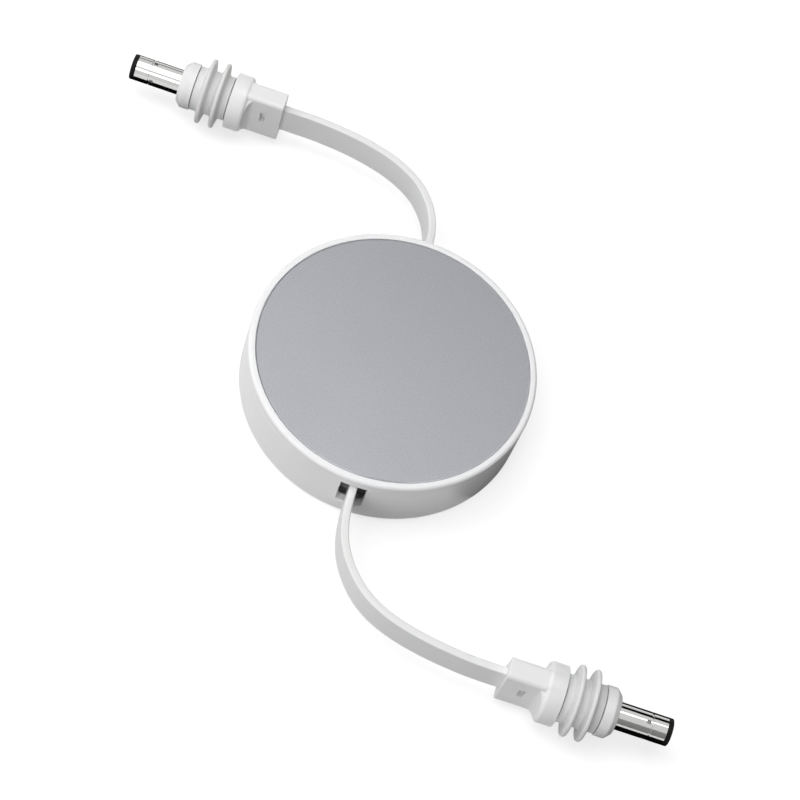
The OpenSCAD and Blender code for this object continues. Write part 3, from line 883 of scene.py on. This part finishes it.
    def insulator(self) -> bpy.types.Object:
        """Builds the black insulator: tip ring and the tube that holds the contact."""
        piece = self.start("tip_insulator_black")
        outer = self.barrel_r - self.barrel_wall - self.nest
        bore, end = self.contact_r + self.contact_wall + self.nest, self.root_s - self.tube_spare
        lathe(piece.bm, rounded([
            (self.contact_r, 0, self.mouth_r), (self.barrel_r, 0, self.tip_edge),
            (self.barrel_r, self.tip_l, self.tip_seat), (outer, self.tip_l, 0), (outer, end, 0),
            (bore, end, 0), (bore, self.contact_s, 0), (self.contact_r, self.contact_s, 0),
        ]), self.steps)
        return piece.complete([TIP_BLACK], self.node("tip_insulator"), slot="tip_black")

    def contact(self) -> bpy.types.Object:
        """Builds the centre contact: a tube with a blind bore and a solder tail."""
        piece = self.start("centre_contact_gold")
        front, deep = self.contact_s + self.contact_play, self.bore_l
        r, shoulder = self.contact_r, deep + self.bore_end
        outer = r + self.contact_wall
        lathe(piece.bm, [(0, deep), (r, deep), (r, front), (outer, front), (outer, shoulder),
                         (self.tail_r, shoulder), (self.tail_r, self.root_s), (0, self.root_s)],
              self.contact_steps, closed=False)
        return piece.complete([CONTACT_GOLD], self.node("centre_contact"), slot="contact_metal")

    def nose(self) -> bpy.types.Object:
        """Builds the nose collar: a chamfered ring with soft edges."""
        piece = self.start("nose_collar_white")
        front, inner, spigot = self.free_l, self.root_r + self.nest, self.spigot_r + self.nest
        end, socket = front + self.nose_l, front + self.nose_socket
        lathe(piece.bm, rounded([
            (inner, front, self.nose_mouth), (self.nose_face_r, front, self.nose_front),
            (self.nose_r, front + self.nose_chamfer, self.nose_shoulder),
            (self.nose_r, end, self.nose_back), (spigot, end, 0), (spigot, socket, 0),
            (inner, socket, 0)], steps=self.curve_steps), self.steps)
        return piece.complete([PLUG_WHITE], self.node("nose_collar"), slot="plug_white")

    def seal(self) -> bpy.types.Object:
        """Builds the silicone seal: a sleeve with two flanges, thick-rooted and round-tipped."""
        piece = self.start("seal_silicone")
        front, end, spigot = self.seal_s, self.collar_s - self.seal_gap, self.spigot_r + self.nest
        tip, root = self.flange_tip / 2, self.flange_root / 2
        tip_r = tip * self.flange_round
        corners: list[Corner] = [(spigot, front, 0), (self.seal_r, front, self.seal_edge)]
        for middle in (front + at for at in self.flange_at):
            corners += [(self.seal_r, middle - root, self.flange_fillet),
                        (self.flange_r, middle - tip, tip_r), (self.flange_r, middle + tip, tip_r),
                        (self.seal_r, middle + root, self.flange_fillet)]
        corners += [(self.seal_r, end, 0), (spigot, end, 0)]
        lathe(piece.bm, rounded(corners, steps=self.curve_steps), self.steps)
        return piece.complete([SEAL_SILICONE], self.node("seal"), slot="seal_silicone")

    def block_reach(self, angle: float, inset: float) -> float:
        """How far the block's rounded rectangle reaches from the axis in one direction.

        Args:
            angle: The direction round the axis, from the middle of a flat side.
            inset: How far the outline is drawn in at the softened rear edge.

        Returns:
            The distance in mm.
        """
        half_t, half_h = self.block_t / 2 - inset, self.block_h / 2 - inset
        radius = self.block_edge - inset
        across, up = abs(math.cos(angle)), abs(math.sin(angle))
        if across > 0 and up / across * half_t <= half_h - radius:
            return half_t / across
        if up > 0 and across / up * half_h <= half_t - radius:
            return half_h / up
        centre = Vector((half_t - radius, half_h - radius))
        along = centre.dot(Vector((across, up)))
        return along + math.sqrt(along ** 2 - centre.length_squared + radius ** 2)

    def flared(self, radius: float, half_t: float) -> Callable[[float], float]:
        """The outline of the block joined to what is left of the collar and its flare.

        Args:
            radius: The collar's radius at this station.
            half_t: Half the flare's thickness at this station.

        Returns:
            How far the outline reaches in each direction.
        """
        def reach(angle: float) -> float:
            """How far the joined outline reaches in one direction."""
            side = half_t / max(abs(math.cos(angle)), TINY)
            flare = -soft_max(-radius, -side, self.melt)
            return soft_max(self.block_reach(angle, 0), flare, self.melt)
        return reach

    def collar_rows(self) -> list[tuple[float, Callable[[float], float]]]:
        """The rear collar: its front fillet, its body and rounded rim, and the hollow flares.

        Returns:
            Each station with how far the outline reaches in each direction.
        """
        r, soft, low = self.collar_r, self.front_fillet, self.collar_r - self.rim_drop
        rows = [(self.collar_s + soft * (1 - math.cos(a)),
                 lambda _, at=r - soft * (1 - math.sin(a)): at) for a in quarter(self.fillet_steps)]
        start = self.block_s + self.rim_back - self.rim_l
        rows.append((start, lambda _: r))
        rows += [(start + self.rim_l * math.sin(a),
                  self.flared(r - self.rim_drop * (1 - math.cos(a)), 2 * r))
                 for a in quarter(self.rim_steps)[1:]]
        inside = self.block_t / 2 - self.melt
        rows += [(start + self.rim_l + self.flare_l * (1 - math.cos(a)),
                  self.flared(low, inside + (low - inside) * (1 - math.sin(a))))
                 for a in quarter(self.flare_steps)[1:]]
        return rows

    def body(self) -> bpy.types.Object:
        """Builds the plug's body: spigot, rear collar, hollow flares and the grip block."""
        piece = self.start("plug_body_white")
        turns = [FULL_TURN * k / self.body_steps for k in range(self.body_steps)]
        inner, bevel = self.root_r + self.nest, self.spigot_bevel
        spigot_s = self.free_l + self.spigot_s
        rows = [(s, lambda _, at=r: at) for r, s in (
            (inner, self.root_s + self.nest), (inner, spigot_s + bevel), (inner + bevel, spigot_s),
            (self.spigot_r, spigot_s), (self.spigot_r, self.collar_s))]
        rows += self.collar_rows()
        soft = self.rear_fillet
        rows += [(self.length - soft * (1 - math.sin(a)),
                  lambda turn, inset=soft * (1 - math.cos(a)): self.block_reach(turn, inset))
                 for a in quarter(self.fillet_steps)]
        loft(piece.bm, [[Vector((reach(a) * math.cos(a), reach(a) * math.sin(a), s))
                         for a in turns] for s, reach in rows])
        long, tall, deep = self.pocket
        pocket = Vector((2 * deep, tall, long))
        carve(piece, [block_cutter(pocket, Vector((side * self.block_t / 2, self.pocket_up,
                                                   self.length - self.pocket_s)))
                      for side in (-1, 1)])
        return piece.complete([PLUG_WHITE], self.node("plug_body"), slot="plug_white")


NEAR_ROUTE: tuple[Point, ...] = (
    (0, -27), (0, -30.5), (0.1, -34), (0.5, -37.5), (1.4, -41), (2.9, -44.2),
    (5, -47.2), (7.5, -49.8), (10.4, -51.8), (13.6, -53.3), (17, -54.4), (20.5, -55.2),
    (24, -55.8), (27.5, -56.2), (31.1, -56.5), (34.6, -56.6), (38.2, -56.6))
FAR_ROUTE: tuple[Point, ...] = (
    (0, 27), (0, 30.3), (-0.1, 33.6), (-0.8, 36.9), (-2, 40), (-3.8, 42.9),
    (-6, 45.4), (-8.8, 47.4), (-11.8, 49), (-14.9, 50.2), (-18.2, 51.1), (-21.5, 51.8),
    (-24.8, 52.3), (-28.1, 52.6), (-31.5, 52.8), (-34.8, 52.8), (-38.2, 52.8))


@dataclass
class FlatCable:
    """One free stretch of the flat cable, standing on edge from its slot to its plug."""

    side: Side
    route: tuple[Point, ...]
    width: float = 7.0
    thickness: float = 1.6
    edge_r: float = 0.3
    slot_z: float = 7.5
    plug_z: float = 7.15
    wall_r: float = 29.75
    level_share: float = 0.12
    corner_steps: int = 4
    drawn_steps: int = 8
    path_steps: int = 2

    def height(self, share: float) -> float:
        """The height of the cable's middle at a share of its route."""
        if share < self.level_share:
            return self.slot_z
        along = (share - self.level_share) / (1 - self.level_share)
        return self.slot_z + (self.plug_z - self.slot_z) * math.sin(math.pi / 2 * along) ** 2

    def line(self, per_span: int) -> list[Vector]:
        """The cable's middle as a smooth line through the route's points.

        Args:
            per_span: The number of steps between two points of the route.

        Returns:
            Points in millimetres, from inside the slot to the plug.
        """
        last = len(self.route) - 1
        knots = [Vector((*p, self.height(i / last))) for i, p in enumerate(self.route)]
        knots = [2 * knots[0] - knots[1], *knots, 2 * knots[-1] - knots[-2]]
        points = []
        for a, b, c, d in zip(knots, knots[1:], knots[2:], knots[3:]):
            for k in range(per_span):
                t = k / per_span
                points.append(0.5 * (2 * b + (c - a) * t + (2 * a - 5 * b + 4 * c - d) * t ** 2
                                     + (3 * b - a - 3 * c + d) * t ** 3))
        points.append(knots[-2])
        return points

    def build(self, with_pieces: Sequence[bpy.types.Object]) -> bpy.types.Object:
        """Args:
            with_pieces: The plug's pieces, not used.

        Returns:
            The cable's object.
        """
        piece = Piece(f"cable_{self.side.label}_jacket")
        half_t, half_w, r = self.thickness / 2, self.width / 2, self.edge_r
        outline = rounded([(-half_t, -half_w, r), (half_t, -half_w, r), (half_t, half_w, r),
                           (-half_t, half_w, r)], steps=self.corner_steps)
        line = self.line(self.drawn_steps)
        loops = []
        for i, p in enumerate(line):
            ahead = (line[min(i + 1, len(line) - 1)] - line[max(i - 1, 0)]).xy.normalized()
            across = Vector((-ahead.y, ahead.x, 0))
            loops.append([p + across * x + Vector((0, 0, z)) for x, z in outline])
        loft(piece.bm, loops)
        obj = piece.complete([CABLE_WHITE], f"cable_{self.side.label}", slot="cable_skin")
        path = [p * MM for p in self.line(self.path_steps)]
        list(with_pieces)
        return obj


@dataclass
class Reel:
    """The reel inside the housing, whose CAD solids stay and take their finishes."""

    dressed: tuple[tuple[str, Finish], ...] = (
        ("reel_spool", REEL_ACETAL), ("reel_cap", REEL_ACETAL), ("wound_cable", CABLE_WHITE),
        ("power_spring", SPRING_STEEL), ("stop_ball", SPRING_STEEL), ("adhesive_sheet", TAPE_GREY))

    def build(self) -> None:
        """Gives each solid of the reel its material."""
        for node, finish in self.dressed:
            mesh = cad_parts[node].data
            mesh.materials.clear()
            mesh.materials.append(finish.material())
            log.info("%s: %s", node, finish.name)


@dataclass
class Lamp:
    """One soft lamp of the studio, with its place in metres and its power in watts."""

    name: str
    place: Place
    size: float
    power: float
    mirrored: bool = False

    def build(self) -> None:
        """Hangs the lamp, which mirrors show only when it is meant to leave a streak."""
        light = bpy.data.lights.new(self.name, "AREA")
        light.shape = "SQUARE"
        light.size = self.size
        light.energy = self.power
        lamp = place_object(self.name, light)
        lamp.visible_glossy = self.mirrored
        lamp.location = self.place
        lamp.rotation_euler = facing(self.place, CENTRE, "-Z").to_euler()


@dataclass
class Flag:
    """A photographer's card, which only mirrors and sheens show. Sizes in metres. Laid on the
    floor, a black one is painted shade that those mirrors show.
    """

    name: str
    place: Place
    size: tuple[float, float]
    aim: Place = CENTRE
    finish: Finish = CARD_BLACK

    def build(self) -> None:
        """Sets the card up, facing its aim."""
        bm = bmesh.new()
        bmesh.ops.create_grid(bm, x_segments=1, y_segments=1, size=0.5)
        bmesh.ops.scale(bm, vec=(*self.size, 1), verts=bm.verts[:])
        turn = facing(self.place, self.aim, "Z").to_matrix().to_4x4()
        bmesh.ops.transform(bm, matrix=Matrix.Translation(self.place) @ turn, verts=bm.verts[:])
        obj = link_mesh(self.name, bm)
        obj.data.materials.append(self.finish.material())
        for rays in ("camera", "diffuse", "transmission", "volume_scatter", "shadow"):
            setattr(obj, f"visible_{rays}", False)


@dataclass
class Studio:
    """The photographer's set: camera, lamps, cards, white sweep and pale surroundings."""

    # The camera's place, the point it looks at and its way up, in metres, fitted to the photo
    camera_at: Place = (-0.017107, -0.229123, 0.378161)
    camera_aim: Place = (0.003928, -0.005020, 0.0068)
    camera_up: Place = (-0.31881, 0.81938, 0.47641)
    focal_px: float = 2140.8
    sensor_mm: float = 36.0
    near_clip: float = 0.01
    # The world's light on the object, as a share of the white that the camera sees
    ambient: float = 0.15
    # The sweep, in metres: its half side, its drop under the object, and where its shadow fades.
    # It glows by this share near the object. Its paper looks paler than it lights the object.
    floor_half: float = 6.0
    floor_drop: float = 0.0002
    floor_glow: float = 0.65
    shadow_reach: tuple[float, float] = (0.12, 0.5)
    paper_seen: str = "#BCBCBC"
    paper_lighting: str = "#828282"
    lamps: tuple[Lamp, ...] = (
        Lamp("key_left", (-0.70, 0.0, 0.36), 0.50, 1.35),
        Lamp("left_front", (-0.50, -0.60, 0.30), 0.50, 0.3),
        Lamp("top", (-0.10, 0.05, 0.80), 0.60, 2.8, mirrored=True),
        Lamp("top_left", (-0.50, 0.05, 0.65), 0.50, 1.2),
        Lamp("left_back", (-0.60, 0.60, 0.35), 0.50, 0.5),
        Lamp("front", (-0.20, -0.78, 0.30), 0.50, 1.8),
        Lamp("back", (-0.10, 1.10, 0.50), 0.50, 1.2),
        Lamp("right_back", (0.55, 0.55, 0.40), 0.50, 0.4),
        Lamp("under", (-0.20, -0.20, -0.60), 0.60, 3.5),
        Lamp("streak_far", (-0.14, -0.39, 0.42), 0.20, 0.25, mirrored=True))
    flags: tuple[Flag, ...] = (
        Flag("flag_back_right", (0.30, 0.50, 0.36), (0.70, 0.30)),
        Flag("flag_back_left", (-0.16, 0.70, 0.26), (0.30, 0.10), (-0.067, 0.053, 0.007)),
        Flag("flag_front_right", (0.20, -0.60, 0.22), (0.30, 0.60), (0.067, -0.057, 0.007),
             CARD_GREY),
        # The black cards laid flat on the floor from here on are painted shade: they lie where the
        # object's shadow falls, right of the housing and under each barrel, and darken the floor
        # that the wall and the barrels reflect.
        Flag("painted_shade_card_right", (0.034, -0.009, 0.0004), (0.020, 0.030), (0.034, -0.009, 1)),
        Flag("painted_shade_card_near_barrel", (0.072, -0.040, 0.0004), (0.026, 0.086), (0.072, -0.040, 1)),
        Flag("painted_shade_card_far_barrel", (-0.070, 0.069, 0.0004), (0.026, 0.058), (-0.070, 0.069, 1)))

    def build(self) -> None:
        """Sets up the whole studio."""
        self.camera()
        self.surroundings()
        self.floor()
        for item in (*self.lamps, *self.flags):
            item.build()
        bpy.context.scene.view_settings.view_transform = "Standard"

    def camera(self) -> None:
        """Places the camera at the photograph's view."""
        lens = bpy.data.cameras.new("camera")
        lens.sensor_width = self.sensor_mm
        lens.lens = self.sensor_mm * self.focal_px / IMAGE_SIZE
        lens.clip_start = self.near_clip
        obj = place_object("camera", lens)
        back = (Vector(self.camera_at) - Vector(self.camera_aim)).normalized()
        right = Vector(self.camera_up).cross(back).normalized()
        up = back.cross(right)
        turn = Matrix((right, up, back)).transposed().to_4x4()
        obj.matrix_world = Matrix.Translation(self.camera_at) @ turn
        bpy.context.scene.camera = obj

    def seen_straight(self, tree: bpy.types.NodeTree) -> bpy.types.NodeSocket:
        """A socket that is 1 for rays from the camera, a mirror or glass, and 0 for others."""
        rays = add_node(tree, "ShaderNodeLightPath")
        mirrored = add_node(tree, "ShaderNodeMath", {"operation": "MAXIMUM"},
                            {0: rays.outputs["Is Camera Ray"], 1: rays.outputs["Is Glossy Ray"]})
        return add_node(tree, "ShaderNodeMath", {"operation": "MAXIMUM"},
                        {0: mirrored.outputs[0], 1: rays.outputs["Is Transmission Ray"]}).outputs[0]

    def surroundings(self) -> None:
        """Makes a world that looks white and lights the object with a soft pale grey."""
        world = bpy.data.worlds.new("studio")
        world.use_nodes = True
        tree = world.node_tree
        tree.nodes.clear()
        strength = add_node(tree, "ShaderNodeMapRange", {"To Min": self.ambient, "To Max": 1.0},
                            {"Value": self.seen_straight(tree)})
        sky = add_node(tree, "ShaderNodeBackground", {"Color": (1, 1, 1, 1)},
                       {"Strength": strength.outputs["Result"]})
        add_node(tree, "ShaderNodeOutputWorld", links={"Surface": sky.outputs[0]})
        bpy.context.scene.world = world

    def floor(self) -> None:
        """Lays a white sweep that keeps the object's soft shadow and is clear from below."""
        bm = bmesh.new()
        bmesh.ops.create_grid(bm, x_segments=1, y_segments=1, size=self.floor_half)
        bmesh.ops.translate(bm, vec=(0, 0, -self.floor_drop), verts=bm.verts[:])
        obj = link_mesh("floor", bm)
        obj.data.materials.append(self.paper())

    def paper(self) -> bpy.types.Material:
        """The sweep's white paper, whiter away from the object and seen from above only.

        Returns:
            The material.
        """
        made = bpy.data.materials.new("paper_white_matt")
        made.use_nodes = True
        tree = made.node_tree
        tree.nodes.clear()
        place = add_node(tree, "ShaderNodeTexCoord").outputs["Object"]
        away = add_node(tree, "ShaderNodeVectorMath", {"operation": "LENGTH"}, {0: place})
        near, far = self.shadow_reach
        fade = add_node(tree, "ShaderNodeMapRange",
                        {"From Min": near, "From Max": far,
                         "To Min": self.floor_glow, "To Max": 1.0},
                        {"Value": away.outputs["Value"]})
        sheet = add_node(tree, "ShaderNodeBsdfDiffuse", {"Color": linear(self.paper_seen)})
        glow = add_node(tree, "ShaderNodeEmission", {"Color": (1, 1, 1, 1)},
                        {"Strength": fade.outputs["Result"]})
        lit = add_node(tree, "ShaderNodeAddShader", links={0: sheet.outputs[0], 1: glow.outputs[0]})
        dull = add_node(tree, "ShaderNodeBsdfDiffuse", {"Color": linear(self.paper_lighting)})
        mixed = add_node(tree, "ShaderNodeMixShader",
                         links={0: self.seen_straight(tree), 1: dull.outputs[0], 2: lit.outputs[0]})
        behind = add_node(tree, "ShaderNodeNewGeometry").outputs["Backfacing"]
        passed = add_node(tree, "ShaderNodeMath", {"operation": "GREATER_THAN", 1: 0.5},
                          {0: add_node(tree, "ShaderNodeLightPath").outputs["Transparent Depth"]})
        clear = add_node(tree, "ShaderNodeMath", {"operation": "MAXIMUM"},
                         {0: behind, 1: passed.outputs[0]})
        through = add_node(tree, "ShaderNodeBsdfTransparent")
        sided = add_node(tree, "ShaderNodeMixShader",
                         links={0: clear.outputs[0], 1: mixed.outputs[0], 2: through.outputs[0]})
        add_node(tree, "ShaderNodeOutputMaterial", links={"Surface": sided.outputs[0]})
        return made


def main() -> None:
    """Builds the studio, both cables with their plugs, the housing and the reel."""
    logging.basicConfig(level=logging.INFO, format="%(message)s")
    Studio().build()
    near = Plug(Side.NEAR, axis_y=-56.6)
    far = Plug(Side.FAR, axis_y=52.8)
    FlatCable(Side.NEAR, NEAR_ROUTE).build(near.build())
    FlatCable(Side.FAR, FAR_ROUTE).build(far.build())
    Housing().build()
    Reel().build()


if __name__ == "__main__":
    main()
